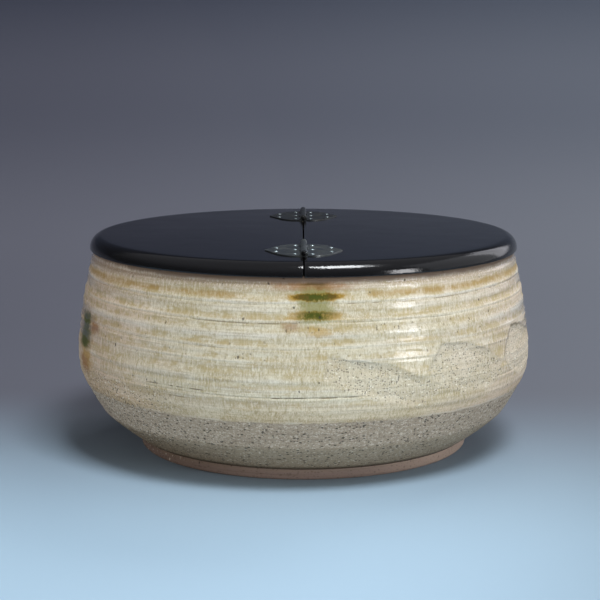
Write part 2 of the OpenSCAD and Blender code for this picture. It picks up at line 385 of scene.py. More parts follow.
def makeJar():
    s = jarSet
    verts, faces, insideFaces = [], [], []
    masks = {name: [] for name in maskNames}

    def addPoint(x, y, z, values):
        verts.append((x * mm, y * mm, z * mm))
        for mask, value in zip(masks.values(), values):
            mask.append(value)
        return len(verts) - 1

    def ring(count, point):
        first = len(verts)
        for i in range(count):
            a = turnOf(i / count)
            radius, z, values = point(a)
            addPoint(radius * math.sin(a), -radius * math.cos(a), z, values)
        return first

    # a ring without noise
    def plain(radius, z):
        return lambda a: (radius, z, (0.0, 0.0, 0.0, 0.0, z))

    def band(a, b, count, inner=False):
        for i in range(count):
            j = (i + 1) % count
            faces.append((a + i, a + j, b + j, b + i))
            insideFaces.append(inner)

    # a new ring, joined to the last one
    def grow(last, count, point, inner=False):
        now = ring(count, point)
        band(now, last, count, inner)
        return now

    # joins a ring to one with a third of its points
    def narrow(a, b, countA, countB):
        for k in range(countB):
            k2 = (k + 1) % countB
            p = [a + (k * 3 + n) % countA for n in range(4)]
            faces.extend([(p[0], p[1], b + k), (p[1], p[2], b + k2, b + k), (p[2], p[3], b + k2)])
            insideFaces.extend([False] * 3)

    def trimmed(t):
        low = (s["footR"] + s["footLedge"], s["footHigh"] + 0.4)
        mid, top = (s["trimR"], s["trimHigh"]), (s["hipR"], s["hipHigh"])
        one, two, f = (low, mid, t * 2) if t < 0.5 else (mid, top, t * 2 - 1)
        out, up = two[0] - one[0], two[1] - one[1]
        bow = s["trimBow"] * (1.5 if t < 0.5 else 1) * 4 * f * (1 - f) / math.hypot(out, up)
        z = lerp(one[1], two[1], f) - out * bow
        radius = lerp(one[0], two[0], f) + up * bow - s["setIn"]
        held = smooth(0, 0.1, t) * smooth(1, 0.93, t)

        def point(a):
            rub = 0.2 * wobble(math.sin(a) * 2, math.cos(a) * 2, z * 0.9)
            return radius + rub * held - s["glazeThick"] * (1 - glazeRise(a, z)), z, (0.0, 0.0, 0.0, 0.0, z)
        return point

    def wallAt(z):
        def point(a):
            radius, values = jarWallPoint(a, z)
            if z > s["rimHigh"] - s["rimRound"] - 2:
                radius = min(radius, s["mouthR"] - 0.1)
            return radius, z, values
        return point

    n, nIn = s["around"], s["aroundInside"]

    # underside and foot ring, worked from the middle outwards
    inR, outR, hollow = s["footR"] - s["footWide"], s["footR"], s["footHollow"]
    middle = addPoint(0, 0, hollow, (0.0,) * 5)
    last = ring(nIn, plain(inR * 0.35, hollow))
    for i in range(nIn):
        faces.append((middle, last + (i + 1) % nIn, last + i))
        insideFaces.append(False)
    under = [(inR * 0.7, hollow - 0.1), (inR - 2.2, hollow), (inR - 0.6, hollow - 0.8),
             (inR, hollow - 2.2), (inR, 0.9), (inR + 0.25, 0.3), (inR + 0.9, 0)]
    for radius, z in under:
        last = grow(last, nIn, plain(radius, z))
    now = ring(n, plain(outR - 1.6, 0))
    narrow(now, last, n, nIn)
    last = now
    footEdge = [(outR - 0.85, 0.2), (outR - 0.25, 0.75), (outR, 1.8), (outR - 0.1, 4.2),
                (outR - 0.45, s["footHigh"] - 0.4), (outR - 0.8, s["footHigh"] + 0.1)]
    for radius, z in footEdge:
        last = grow(last, n, plain(radius, z))

    # trimmed bands, then the thrown wall up to the rim
    for k in range(s["trimRows"]):
        last = grow(last, n, trimmed(k / s["trimRows"]))
    heights = wallHeights()
    for z in heights:
        last = grow(last, n, wallAt(z))
    top, rimRound = s["rimHigh"] - s["rimRound"], s["rimRound"]
    for deg in (25, 50, 72, 90):
        a = math.radians(deg)
        radius = s["mouthR"] - rimRound - 0.1 + rimRound * math.cos(a)
        last = grow(last, n, plain(radius, top + rimRound * math.sin(a)))

    # over the rim and down the inside to the floor
    inner = s["mouthR"] - s["wall"] + rimRound
    now = ring(nIn, plain(inner, s["rimHigh"]))
    narrow(last, now, n, nIn)
    last = now
    for deg in (108, 130, 155, 180):
        a = math.radians(deg)
        last = grow(last, nIn, plain(inner + rimRound * math.cos(a), top + rimRound * math.sin(a)), True)
    z = top - s["insideStep"]
    while z > s["hipHigh"] + 1:
        wave = 0.25 * math.cos(z * 0.9) + 0.12 * math.cos(z * 2.1)
        last = grow(last, nIn, plain(wallRadius(z) - s["wall"] + wave, z), True)
        z -= s["insideStep"]
    wide = s["hipR"] - s["wall"] - s["floorR"]
    for k in range(s["floorRows"] + 1):
        a = -math.radians(90 * k / s["floorRows"])
        radius = s["floorR"] + wide * math.cos(a)
        z = s["hipHigh"] + (s["hipHigh"] - s["floorHigh"]) * math.sin(a)
        last = grow(last, nIn, plain(radius, z + 0.15 * math.cos(radius * 0.8)), True)
    for share in (0.8, 0.55, 0.3, 0.1):
        radius = s["floorR"] * share
        last = grow(last, nIn, plain(radius, s["floorHigh"] + 0.25 * math.cos(radius * 0.55)), True)
    tip = addPoint(0, 0, s["floorHigh"] + 0.3, (0.0,) * 5)
    for i in range(nIn):
        faces.append((last + i, last + (i + 1) % nIn, tip))
        insideFaces.append(True)

    mesh = bpy.data.meshes.new("jar_thrown")
    mesh.from_pydata(verts, [], faces)
    for name, values in masks.items():
        mesh.attributes.new(name, "FLOAT", "POINT").data.foreach_set("value", values)
    mesh.polygons.foreach_set("material_index", [int(inner) for inner in insideFaces])
    work = bmesh.new()
    work.from_mesh(mesh)
    bmesh.ops.recalc_face_normals(work, faces=work.faces)
    work.to_mesh(mesh)
    work.free()
    shadeSmooth(mesh)
    print("jar mesh:", len(heights), "wall rows,", sum(len(f) - 2 for f in faces), "triangles")
    return newPiece("jar_thrown", mesh, s["body"], "jar")


jarPiece = makeJar()


# lid: two half discs in black lacquer with a soft edge, cut from one turned disc; sizes in mm
lidSet = dict(
    slot="black_lacquer", radius=118.4, low=110, thick=7.4,
    edgeTopWide=6.5, edgeTopShare=0.95, edgeTopRows=24, edgeLowWide=0.35, edgeLowRows=8,
    seam=0.8, seamRound=0.75, seamSegments=4, ribR=108.35, ribWide=5, ribDeep=3.5, around=288, sharpFrom=40,
    halves=[("lid_left_lacquer", "lid_left_half", "lid_left", -1),
            ("lid_right_lacquer", "lid_right_half", "lid_right", 1)],
)


# outline of the turned disc, from the middle of its underside round to the middle of its top
def lidProfile():
    s = lidSet
    topHigh = s["thick"] * s["edgeTopShare"]
    lowHigh = s["thick"] - topHigh
    turnZ = s["low"] + lowHigh
    rib, deep = s["ribR"], s["low"] - s["ribDeep"]
    points = [(0, s["low"]), (rib - s["ribWide"], s["low"]), (rib - s["ribWide"], deep + 0.8),
              (rib - s["ribWide"] + 0.8, deep), (rib - 1.2, deep), (rib, deep + 1.2), (rib, s["low"])]
    for k in range(s["edgeLowRows"] + 1):
        a = math.radians(-90 + 90 * k / s["edgeLowRows"])
        points.append((s["radius"] - s["edgeLowWide"] * (1 - math.cos(a)), turnZ + lowHigh * math.sin(a)))
    for k in range(1, s["edgeTopRows"] + 1):
        a = math.radians(90 * k / s["edgeTopRows"])
        points.append((s["radius"] - s["edgeTopWide"] * (1 - math.cos(a)), turnZ + topHigh * math.sin(a)))
    flatR, top = s["radius"] - s["edgeTopWide"], s["low"] + s["thick"]
    points += [(share * flatR, top) for share in (0.96, 0.85, 0.7, 0.5, 0.3, 0.1)]
    points.append((0, top))
    return points


def makeLidHalf(name, node, body, side):
    s = lidSet
    work = bmesh.new()
    rings = []
    for radius, z in lidProfile():
        if radius == 0:
            rings.append([work.verts.new((0, 0, z * mm))])
            continue
        rings.append([work.verts.new((radius * math.sin(2 * math.pi * i / s["around"]) * mm,
                                      radius * math.cos(2 * math.pi * i / s["around"]) * mm, z * mm))
                      for i in range(s["around"])])
    for one, two in zip(rings, rings[1:]):
        for i in range(s["around"]):
            j = (i + 1) % s["around"]
            if len(one) == 1:
                work.faces.new((one[0], two[i], two[j]))
            elif len(two) == 1:
                work.faces.new((one[i], two[0], one[j]))
            else:
                work.faces.new((one[i], two[i], two[j], one[j]))
    geometry = work.verts[:] + work.edges[:] + work.faces[:]
    cutX = side * s["seam"] / 2 * mm
    cut = bmesh.ops.bisect_plane(work, geom=geometry, plane_co=(cutX, 0, 0), plane_no=(-side, 0, 0),
                                 clear_outer=True)
    border = [e for e in cut["geom_cut"] if isinstance(e, bmesh.types.BMEdge)]
    bmesh.ops.contextual_create(work, geom=border)
    bmesh.ops.recalc_face_normals(work, faces=work.faces)
    # the seam's edges are softened, as lacquer leaves no sharp corner
    seamEdges = [e for e in work.edges
                 if all(abs(v.co.x - cutX) < 1e-7 for v in e.verts) and e.calc_face_angle(0) > 0.5]
    bmesh.ops.bevel(work, geom=seamEdges, offset=s["seamRound"] * mm, segments=s["seamSegments"],
                    profile=0.5, affect="EDGES", clamp_overlap=True)
    mesh = bpy.data.meshes.new(name)
    work.to_mesh(mesh)
    work.free()
    shadeSmooth(mesh, s["sharpFrom"])
    print(name, len(mesh.vertices), "points")
    return newPiece(name, mesh, body, node)


lidPieces = [makeLidHalf(*half) for half in lidSet["halves"]]


# hinges: leaves copied from the frame with their edges eased, pins and nails kept as they are
hingeSet = dict(slot="dark_bronze", ease=0.16, easeSegments=2, easeFrom=40, sharpFrom=35)


def makeLeaf(node, body):
    s = hingeSet
    mesh = nodes[node].data.copy()
    mesh.materials.clear()
    work = bmesh.new()
    work.from_mesh(mesh)
    bmesh.ops.remove_doubles(work, verts=work.verts, dist=1e-6)
    bmesh.ops.dissolve_limit(work, angle_limit=math.radians(2), verts=work.verts, edges=work.edges)
    bmesh.ops.recalc_face_normals(work, faces=work.faces)
    work.to_mesh(mesh)
    work.free()
    shadeSmooth(mesh, s["sharpFrom"])
    piece = newPiece(node + "_eased", mesh, body, node)
    bevel = piece.modifiers.new("eased edges", "BEVEL")
    bevel.width = s["ease"] * mm
    bevel.segments = s["easeSegments"]
    bevel.limit_method = "ANGLE"
    bevel.angle_limit = math.radians(s["easeFrom"])
    bevel.harden_normals = True
    return piece


hingeSides = [(place, side) for place in ("front", "back") for side in ("left", "right")]
leafPieces = [makeLeaf(f"{place}_hinge_{side}_leaf", f"lid_{side}") for place, side in hingeSides]
pinPieces = [nodes[f"{place}_hinge_pin"] for place in ("front", "back")]
nailPieces = [nodes[f"{place}_hinge_{side}_nails"] for place, side in hingeSides]
for piece in pinPieces + nailPieces:
    piece.data.materials.clear()
    shadeSmooth(piece.data, hingeSet["sharpFrom"])
print("hinges made")

# a run of copper-green glaze on the wall: masks for its pale wash, its green, its amber and how burnt that is
runSet = dict(streaks=(900, 900, 330), blots=(150, 150, 230), soft=(-1.0, 2.5), faces=(0.03, 0.06),
              streakDrift=1.6, blotDrift=2.4, heightDrift=2.2, poolDrift=0.8,  # how far noise moves the edges
              wash=(0.6, 1.9), green=(0.45, 1.5), amber=(1.0, 2.9), burn=(1.0, 2.6))


def makeGlazeRun():
    s = runSet
    tree, given, out = newGroup("copperRun", ["Vector", "Across", "Outward"],
                                ["Half Width", "Low", "High", "Height", "Pool"],
                                ["Wash", "Green", "Amber", "Burn"])
    here = ramp(dotProduct(given["Vector"], given["Outward"]), *s["faces"])
    streak = noiseTex(stretch(given["Vector"], s["streaks"]), 1.0, 3.0, 0.7)
    blot = noiseTex(stretch(given["Vector"], s["blots"]), 1.0, 3.0, 0.65)
    drift = plus(times(minus(streak, 0.5), s["streakDrift"]),
                 times(minus(blot, 0.5), s["blotDrift"]))
    away = math2("ABSOLUTE", dotProduct(given["Vector"], given["Across"]))
    ratio = plus(math2("DIVIDE", away, given["Half Width"]), drift)
    high = plus(given["Height"], times(drift, s["heightDrift"]))
    span = times(ramp(minus(high, given["Low"]), *s["soft"]),
                 ramp(minus(given["High"], high), *s["soft"]), here)
    pool = plus(given["Pool"], times(drift, s["poolDrift"]))
    pooled = times(ramp(pool, 0.0, 1.0), span)
    for name, reach, over in (("Wash", s["wash"], span), ("Green", s["green"], pooled),
                              ("Amber", s["amber"], pooled), ("Burn", s["burn"], pooled)):
        tree.links.new(times(ramp(ratio, *reach, 1.0, 0.0), over), out[name])
    return tree


glazeRun = makeGlazeRun()

# glaze: ivory ash glaze with an upright grain, amber in the grooves, over speckled clay left bare below
# heights in mm, places across the jar in metres
glazeSet = dict(
    cream=(0.61, 0.545, 0.385, 1), ivory=(0.705, 0.665, 0.51, 1), milk=(0.745, 0.725, 0.645, 1),
    creamPink=(0.60, 0.472, 0.345, 1), ivoryPink=(0.72, 0.60, 0.47, 1), blushAndLidShadow=(0.42, 0.33, 0.245, 1),
    thin=(0.375, 0.32, 0.225, 1), ochre=(0.475, 0.38, 0.19, 1), amber=(0.40, 0.272, 0.10, 1),
    fibreDark=(0.40, 0.335, 0.185, 1), fibreLight=(0.83, 0.80, 0.68, 1),
    brown=(0.17, 0.135, 0.08, 1), pit=(0.05, 0.042, 0.032, 1), rust=(0.32, 0.165, 0.065, 1),
    green=(0.06, 0.078, 0.006, 1), greenPale=(0.245, 0.24, 0.075, 1),
    honey=(0.44, 0.265, 0.03, 1), treacle=(0.115, 0.066, 0.004, 1),
    flush=(1.0, 0.945, 0.915, 1), shade=(0.84, 0.77, 0.715, 1), warmAgainstBounce=(1.03, 0.945, 0.86, 1),
    cut=(0.565, 0.505, 0.385, 1), cutLight=(0.74, 0.69, 0.58, 1),
    bare=(0.42, 0.34, 0.25, 1), bareLight=(0.66, 0.575, 0.46, 1), bareLow=(0.365, 0.292, 0.202, 1),
    foot=(0.235, 0.18, 0.157, 1), footEdge=(0.255, 0.198, 0.162, 1), footLitRight=(0.48, 0.365, 0.29, 1),
    leftShade=(0.75, 0.72, 0.68, 1), ledgeShadowAndToolMarks=(0.09, 0.065, 0.045, 1), rim=(0.215, 0.158, 0.117, 1),
    glazeLow=37.4, glazeHigh=107.7, trimHigh=22.6, footTop=5.6,
    # noises: scale across and up, detail, roughness; the even ones have one scale
    noises=dict(
        streak=((9, 9, 330), 4.0, 0.62), drips=((420, 420, 90), 2.0, 0.55),
        tint=((95, 95, 240), 4.0, 0.65), comb=((22, 22, 1300), 3.0, 0.65),
        fibre=((880, 880, 190), 3.0, 0.65), grain=((1900, 1900, 760), 2.0, 0.6),
        patch=((75, 75, 160), 4.0, 0.65), tool=((14, 14, 700), 2.0, 0.6),
        scraped=((480, 480, 1000), 3.0, 0.7), breaks=((120, 120, 60), 2.0, 0.6),
        swim=((240, 240, 420), 3.0, 0.55)),
    evenNoises=dict(uneven=(55, 4.0, 0.6), fine=(620, 4.0, 0.72), gritty=(1100, 3.0, 0.7)),
    # specks: stretch, how many to the metre, size, share of the places that have one
    pits=dict(few=((1, 1, 0.7), 400, 0.22, 0.09), cut=((1.25, 1.25, 0.62), 820, 0.32, 0.24),
              fine=((0.7, 0.7, 1.15), 1250, 0.44, 0.40), clay=((0.7, 0.7, 1.15), 820, 0.40, 0.45),
              tick=((1, 1, 0.55), 560, 0.30, 0.5)),
    paleBits=((0.7, 0.7, 1.15), (0.0006, 0.0, 0.0004), 860, 0.36, 0.34),  # with a shift after the stretch
    # gaps in the amber line under the rim: from and to across the front, softness
    gaps=[(-0.031, -0.012, 0.004), (0.019, 0.032, 0.003)],
    # rows of ticks: heights, softness, strength
    rows=[(70.0, 73.4, 0.6, 1.0), (83.2, 87.0, 0.8, 1.0), (77.0, 80.5, 0.8, 0.6)],
    # scratched lines: height, half width, how dark, from and to across the front
    lines=[(97.0, 0.30, 0.55, 0.012, 0.11), (97.0, 0.25, 0.25, -0.118, -0.02),
           (88.0, 0.30, 0.6, -0.055, 0.010), (88.0, 0.25, 0.4, 0.02, 0.075), (75.4, 0.25, 0.35, -0.09, 0.03),
           (53.2, 0.35, 0.85, -0.08, -0.042), (51.5, 0.30, 0.85, -0.022, 0.029),
           (48.2, 0.30, 0.6, -0.07, -0.06)],
    # runs: turn from the front in degrees, half width, heights, how much amber, how burnt, where it pools
    runs=[(2.9, 0.0063, 97, 107.2, 1.0, 1.0, (99.2, 102.0)),
          (2.6, 0.0062, 87.4, 99.0, 0.75, 0.4, (89.6, 93.4)), (-70.5, 0.0070, 60, 80, 0.4, 1.0, (58, 82)),
          (-163, 0.0065, 84, 100, 0.9, 1.0, (91, 96)), (-163, 0.0065, 74, 86, 0.9, 0.5, (78, 84))],
    poolSoft=1.7,
    # washes beside the runs: colour, strength, turn, half width and heights
    washes=[("honey", 0.6, 3.6, 0.0044, 80.6, 86.4), ("rust", 0.8, 2.0, 0.0150, 103.0, 110),
            ("treacle", 0.8, 2.7, 0.0042, 104.6, 109), ("rust", 0.6, -3.0, 0.0034, 83.6, 88.8),
            ("honey", 0.7, -69, 0.0075, 49, 61), ("rust", 0.7, -70, 0.0055, 47, 57),
            ("rust", 0.85, -63.5, 0.0045, 70, 76.5)],
    matte=[(98.6, 103.4), (83.6, 93.2), (73.8, 75.6), (38, 66)],  # bands with less gloss, by height
    coatRough=0.08, skin=0.45, dry=0.88, sheen=0.25, bump=(0.5, 0.0005),
)


# where a point is on the jar, the masks its mesh carries, and the noises that the layers share
def glazeSites(tree):
    s = glazeSet
    place = objectPlace(tree)
    x, y, z = axes(place)
    at = {name: attribute(tree, name) for name in maskNames}
    at.update(place=place, x=x, high=times(z, 1000), front=ramp(y, -0.01, 0.01, 1.0, 0.0))
    for name, (scale, detail, rough) in s["noises"].items():
        at[name] = noiseTex(stretch(place, scale), 1.0, detail, rough)
    for name, (scale, detail, rough) in s["evenNoises"].items():
        at[name] = noiseTex(place, scale, detail, rough)
    at["broad"] = softPatches(stretch(place, (1, 1, 2.2)), 30, 0.36, 0.66)
    sideways = minus(times(at["broad"], 0.02), math2("ABSOLUTE", y))
    at["pinker"] = ramp(sideways, -0.11, -0.05)
    # the low left is dry and gritty, as the glaze is thin there
    at["worn"] = times(ramp(x, -0.050, -0.085), ramp(at["high"], 46.0, 56.0, 1.0, 0.0),
                       at["front"])
    return at


# body of the glaze: yellower in front and behind, pinker to the sides, in soft patches and level bands
def glazeBody(at):
    s = glazeSet
    cream = mixColour(at["pinker"], s["cream"], s["creamPink"])
    ivory = mixColour(at["pinker"], s["ivory"], s["ivoryPink"])
    colour = mixColour(at["broad"], cream, ivory)
    tinted = times(ramp(at["tint"], 0.50, 0.68, 0.0, 0.75),
                   ramp(at["x"], -0.05, 0.05, 1.0, 0.65))
    milky = times(at["milk"], ramp(plus(at["drips"], at["broad"]), 0.45, 1.3))
    groove = times(within(at["high"], 46.2, 50.0, 1.4),
                   ramp(at["x"], -0.03, 0.045, 0.7, 0.1))
    lowLeft = times(ramp(at["high"], 38.0, 50.0, 1.0, 0.0),
                    ramp(at["x"], -0.09, -0.04, 0.8, 0.0))
    thinned = times(most(groove, lowLeft), ramp(at["broad"], 0.0, 1.0, 0.85, 0.5))
    combed = ramp(at["broad"], 0.2, 0.8, 0.2, 1.0)  # fine throwing lines, more in some places
    return paint(colour, [
        (ramp(at["streak"], 0.48, 0.68, 0.0, 0.6), s["thin"]),
        (ramp(at["streak"], 0.30, 0.46, 0.45, 0.0), s["fibreLight"]),
        (tinted, s["ochre"]),
        (times(milky, 0.75), s["milk"]),
        # partly the glaze's own brown band under the rim, partly painted shadow of the lid
        (ramp(at["high"], 101.6, 107.0, 0.0, 0.95), s["blushAndLidShadow"]),
        (thinned, s["thin"]),
        (times(combed, ramp(at["comb"], 0.52, 0.68, 0.0, 0.45)), s["thin"]),
        (times(combed, ramp(at["comb"], 0.34, 0.48, 0.38, 0.0)), s["fibreLight"])])


# upright fibres, coarse and fine
def glazeFibres(at, colour):
    s = glazeSet
    upright = ramp(at["broad"], 0.2, 0.9, 1.0, 0.55)
    return paint(colour, [
        (times(upright, ramp(at["fibre"], 0.49, 0.68, 0.0, 0.72)), s["fibreDark"]),
        (times(upright, ramp(at["fibre"], 0.32, 0.48, 0.5, 0.0)), s["fibreLight"]),
        (ramp(at["grain"], 0.54, 0.70, 0.0, 0.5), s["fibreDark"]),
        (ramp(at["grain"], 0.34, 0.46, 0.5, 0.0), s["fibreLight"])])


# amber where the glaze pools: a long soft line under the rim, broken patches lower down
def amberPools(at, colour):
    s = glazeSet
    gaps = plus(*[within(at["x"], *gap) for gap in s["gaps"]])
    unbroken = times(ramp(at["amber"], 0.45, 1.0), ramp(at["patch"], 0.38, 0.56, 0.5, 0.9),
                     minus(1.0, times(gaps, at["front"], 0.85)))
    patchy = ramp(plus(at["patch"], times(at["drips"], 0.3)), 0.57, 0.78, 0.0, 0.85)
    broken = times(ramp(at["amber"], 0.1, 0.45), patchy)
    strands = ramp(at["fibre"], 0.3, 0.6, 0.6, 1.0)
    return paint(colour, [
        (times(broken, strands), s["ochre"]),
        (times(unbroken, strands), s["amber"])])


# copper-green runs with amber round them, and washes of colour beside them
def glazeRuns(at, colour):
    s = glazeSet

    def masksOf(turn, half, low, top, height, pool):
        a = math.radians(turn)
        return useGroup(glazeRun, {
            "Vector": at["place"], "Across": (math.cos(a), math.sin(a), 0),
            "Outward": (math.sin(a), -math.cos(a), 0), "Half Width": half,
            "Low": low, "High": top, "Height": height, "Pool": pool})

    for turn, half, low, top, halo, burnt, pooledAt in s["runs"]:
        pool = within(at["ringHigh"], *pooledAt, s["poolSoft"])
        masks = masksOf(turn, half, low, top, at["ringHigh"], pool)
        tone = mixColour(ramp(masks["Burn"], 0.12, 0.85, 0.0, burnt), s["honey"], s["treacle"])
        colour = paint(colour, [
            (times(masks["Wash"], 0.8), s["greenPale"]),
            (ramp(masks["Amber"], 0.0, 0.6, 0.0, 0.95 * halo), tone),
            (times(masks["Green"], 0.95), s["green"])])
    for name, strength, turn, half, low, top in s["washes"]:
        masks = masksOf(turn, half, low, top, at["high"], 0.5)
        colour = mixColour(times(masks["Wash"], strength), colour, s[name])
    return colour


# the sides are flushed; the low glaze is painted with shade just above where the glaze ends, and painted
# warmer to cancel the blue light bounced from the floor
def glazeTones(at, colour):
    s = glazeSet
    sides = times(at["pinker"], ramp(at["x"], 0.03, 0.09, 1.0, 0.2))
    colour = mixColour(sides, colour, s["flush"], "MULTIPLY")
    # painted shade at the low glaze
    colour = mixColour(ramp(at["high"], 36.5, 40.5, 0.6, 0.0), colour, s["shade"], "MULTIPLY")
    # painted warmth against the floor's blue bounce light
    return mixColour(ramp(at["high"], 40.0, 52.0, 1.0, 0.0), colour, s["warmAgainstBounce"], "MULTIPLY")


# the glaze stops in an uneven line above the trimming, ragged on the left, and short of the rim
def glazeCover(at):
    s = glazeSet
    at["wander"] = times(minus(at["uneven"], 0.5), 3.0)
    ragged = times(minus(at["fibre"], 0.5), 5.0)
    left = times(ramp(at["x"], -0.070, -0.095, 0.0, 1.0), at["front"])
    at["edge"] = plus(at["high"], plus(at["wander"], times(left, minus(ragged, 0.6))))
    at["glazed"] = times(ramp(at["edge"], s["glazeLow"] - 0.5, s["glazeLow"] + 0.5),
                         ramp(at["edge"], s["glazeHigh"] - 1.2, s["glazeHigh"] + 0.9, 1.0, 0.0))
    at["bare"] = minus(1.0, at["glazed"])


# a pale lip where the glaze ends, and cuts that are dry and gritty
def glazeCuts(at, colour):
    s = glazeSet
    lip = within(at["edge"], s["glazeLow"] + 0.1, s["glazeLow"] + 0.9, 0.35)
    cutTone = mixColour(ramp(at["gritty"], 0.50, 0.64, 0.0, 0.9), s["cut"], s["cutLight"])
    cutTone = mixColour(ramp(at["fine"], 0.54, 0.70, 0.0, 0.55), cutTone, s["ochre"])
    return paint(colour, [
        (times(lip, ramp(at["broad"], 0.2, 0.8, 0.05, 0.35)), s["cutLight"]),
        (times(at["facet"], 0.38), cutTone)])


# bare clay: two trimmed bands, a painted shadow line under the ledge and a redder foot; the foot is painted
# lighter on the right, the low clay and foot are painted darker with shade on the left, and the rim band
# carries painted shadow from the lid
def bareClay(at):
    s = glazeSet
    grain = plus(at["gritty"], at["scraped"])
    clay = mixColour(ramp(grain, 0.98, 1.22), s["bare"], s["bareLight"])
    low = mixColour(ramp(grain, 1.02, 1.30), s["bareLow"], s["bareLight"])
    lowBand = ramp(plus(at["high"], at["wander"]),
                   s["trimHigh"] - 0.6, s["trimHigh"] + 0.6, 1.0, 0.0)
    footTone = mixColour(ramp(at["high"], 3.4, 5.2), s["foot"], s["footEdge"])
    # painted light: the foot's right side is lighter, as lit from the right
    footTone = mixColour(ramp(at["x"], 0.02, 0.085, 0.0, 0.9), footTone, s["footLitRight"])
    clay = paint(clay, [
        (lowBand, low),
        # painted shadow: a dark line under the ledge above the foot
        (ramp(at["high"], s["footTop"] + 3.4, s["footTop"] + 0.6, 0.0, 0.95), s["ledgeShadowAndToolMarks"]),
        (ramp(at["high"], s["footTop"] - 0.1, s["footTop"] + 0.3, 1.0, 0.0), footTone)])
    # painted shade: the low clay and the foot are darker on the left front
    shadedLeft = times(ramp(at["x"], -0.015, -0.08),
                  ramp(at["high"], 18, 22, 1.0, 0.0), at["front"])
    clay = mixColour(shadedLeft, clay, s["leftShade"], "MULTIPLY")
    return paint(clay, [
        # the rim's own clay, darkened further with painted shadow under the lid
        (ramp(at["high"], 98, 104), s["rim"]),
        # dark tool marks on the clay, in the same dark brown
        (ramp(at["tool"], 0.55, 0.75, 0.0, 0.3), s["ledgeShadowAndToolMarks"])])


# pinholes everywhere, thick in the cuts and in the clay, with pale bits among them
def glazePits(at, colour):
    s = glazeSet
    pit = {name: speckMask(stretch(at["place"], scale), *spread)
           for name, (scale, *spread) in s["pits"].items()}
    inCuts = times(most(times(pit["cut"], 0.65), times(pit["fine"], 0.55)),
                   most(at["facet"], times(at["worn"], 1.35)))
    inClay = times(most(pit["clay"], times(pit["fine"], 0.5)), at["bare"],
                   ramp(at["high"], 96, 100, 1.0, 0.0), ramp(at["high"], 4.5, 7.0, 0.3, 0.8))
    at["pits"] = most(times(pit["few"], 0.75), inCuts, inClay)
    at["ticks"] = pit["tick"]
    scale, shift, *spread = s["paleBits"]
    pale = speckMask(vectorSum(stretch(at["place"], scale), shift), *spread)
    inBands = times(at["bare"], within(at["high"], 8, 44, 1), 0.3)
    paleAt = most(at["facet"], at["worn"], inBands)
    return mixColour(times(pale, paleAt, 0.7), colour, s["fibreLight"])


# short upright ticks in rows, scratched lines that come and go, and the cuts' edges, dark partly as iron and
# partly as painted shade of their steps
def glazeMarks(at, colour):
    s = glazeSet
    rows = most(*[times(within(at["ringHigh"], low, top, soft), strength)
                        for low, top, soft, strength in s["rows"]])
    marks = times(at["ticks"], rows, 0.8, ramp(at["patch"], 0.42, 0.55))
    for lineHigh, half, dark, fromX, toX in s["lines"]:
        off = math2("ABSOLUTE", minus(at["ringHigh"], lineHigh))
        line = times(ramp(off, half * 0.4, half * 1.3, 1.0, 0.0),
                     within(at["x"], fromX, toX, 0.003), at["front"],
                     ramp(at["breaks"], 0.44, 0.56, 0.1, dark))
        marks = most(marks, line)
    at["marks"] = times(marks, at["glazed"])
    return paint(colour, [
        (times(at["facetEdge"], 0.85), s["brown"]), (at["marks"], s["brown"]), (at["pits"], s["pit"])])


# how glossy the glaze is: dull in the cuts, in the pits and in matte bands
def glazeShine(at):
    shine = times(at["glazed"], ramp(most(at["facet"], at["worn"]), 0.0, 1.0, 1.0, 0.25),
                  ramp(at["pits"], 0.0, 0.5, 1.0, 0.0))
    uneven = plus(at["ringHigh"], times(minus(at["tint"], 0.5), 8.0))
    for low, top in glazeSet["matte"]:
        shine = times(shine, ramp(within(uneven, low, top, 0.8), 0.0, 1.0, 1.0, 0.3))
    return shine


def jarGlaze():
    s = glazeSet
    material, tree, shader = newMaterial("ivoryAshGlaze")
    at = glazeSites(tree)
    glazeCover(at)
    colour = glazeBody(at)
    for layer in (glazeFibres, amberPools, glazeRuns, glazeTones, glazeCuts):
        colour = layer(at, colour)
    colour = mixColour(at["glazed"], bareClay(at), colour)
    colour = glazeMarks(at, glazePits(at, colour))
    shine = glazeShine(at)
    rough = most(at["facet"], at["bare"], at["worn"])
    raised = plus(times(at["fibre"], 0.25), times(at["swim"], 0.9),
                  times(at["gritty"], ramp(rough, 0.0, 1.0, 0.05, 0.7)))
    pitted = minus(raised, most(at["pits"], at["marks"]))
    # a clear coat carries the gloss; its surface swims, so reflections break up
    fill(shader, {
        "Base Color": colour, "Roughness": ramp(shine, 0.0, 1.0, s["dry"], s["skin"]),
        "Normal": bumpNormal(pitted, *s["bump"]), "Specular IOR Level": s["sheen"],
        "Coat Weight": shine, "Coat Roughness": s["coatRough"],
        "Coat Normal": bumpNormal(raised, *s["bump"])})
    return material


# inside: the same glaze, thicker and plainer, darker where it pools on the floor
innerSet = dict(pale=(0.62, 0.565, 0.425, 1), deep=(0.52, 0.455, 0.315, 1), line=(0.43, 0.37, 0.25, 1),
                light=(0.74, 0.70, 0.58, 1), pool=(0.40, 0.365, 0.215, 1), pit=(0.06, 0.05, 0.04, 1),
                pits=(260, 0.2, 0.1), rough=(0.12, 0.24), bump=(0.3, 0.0005))


